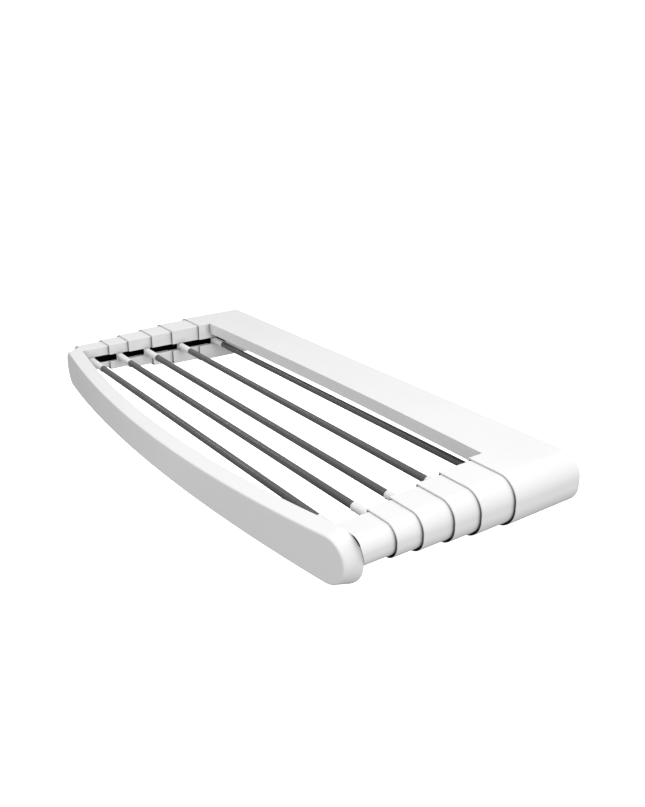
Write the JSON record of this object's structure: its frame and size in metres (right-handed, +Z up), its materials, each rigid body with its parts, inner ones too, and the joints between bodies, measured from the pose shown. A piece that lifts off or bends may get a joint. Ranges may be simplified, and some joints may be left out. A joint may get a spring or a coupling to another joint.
{
  "type": "wall mounted telescopic drying rack",
  "caption": "Wall housing with nested sliding side arms, round drying rods between them and a bowed front panel that pulls the rack out.",
  "frame": {"origin": "centre of the four wall screw holes, on the wall plane, level with the rods", "axes": "+X along the wall, +Y into the wall, +Z up; the rack pulls out towards -Y"},
  "size_m": [1.08, 0.475, 0.0995],
  "materials": {
    "housing": "satin moulded white plastic",
    "plate": "plain moulded white plastic",
    "stage": "satin moulded white plastic",
    "panel": "satin moulded white plastic",
    "ferrule": "satin moulded white plastic",
    "rod": "dark grey powder coat",
    "glide": "natural low-friction plastic",
    "screw_steel": "zinc plated"
  },
  "bodies": {
    "wall_unit": {"housing": "housing", "wall_plate": "plate", "plate_screws": "screw_steel"},
    "stage_1": {"stage_1_arm_left": "stage", "stage_1_arm_right": "stage", "stage_1_glides": "glide", "rod_1": "rod", "rod_1_ferrules": "ferrule"},
    "stage_2": {"stage_2_arm_left": "stage", "stage_2_arm_right": "stage", "stage_2_glides": "glide", "rod_2": "rod", "rod_2_ferrules": "ferrule"},
    "stage_3": {"stage_3_arm_left": "stage", "stage_3_arm_right": "stage", "stage_3_glides": "glide", "rod_3": "rod", "rod_3_ferrules": "ferrule"},
    "stage_4": {"stage_4_arm_left": "stage", "stage_4_arm_right": "stage", "stage_4_glides": "glide", "rod_4": "rod", "rod_4_ferrules": "ferrule"},
    "stage_5": {"stage_5_arm_left": "stage", "stage_5_arm_right": "stage", "stage_5_glides": "glide", "rod_5": "rod", "rod_5_ferrules": "ferrule", "front_panel": "panel", "panel_back": "panel", "panel_screws": "screw_steel"}
  },
  "joints": [
    {"name": "stage_1_slide", "type": "slide", "parent": "wall_unit", "child": "stage_1", "axis": [0, 1, 0], "range_m": [0, 0.064]},
    {"name": "stage_2_slide", "type": "slide", "parent": "stage_1", "child": "stage_2", "axis": [0, 1, 0], "range_m": [0, 0.046]},
    {"name": "stage_3_slide", "type": "slide", "parent": "stage_2", "child": "stage_3", "axis": [0, 1, 0], "range_m": [0, 0.0525]},
    {"name": "stage_4_slide", "type": "slide", "parent": "stage_3", "child": "stage_4", "axis": [0, 1, 0], "range_m": [0, 0.042]},
    {"name": "stage_5_slide", "type": "slide", "parent": "stage_4", "child": "stage_5", "axis": [0, 1, 0], "range_m": [0, 0.0465]}
  ]
}
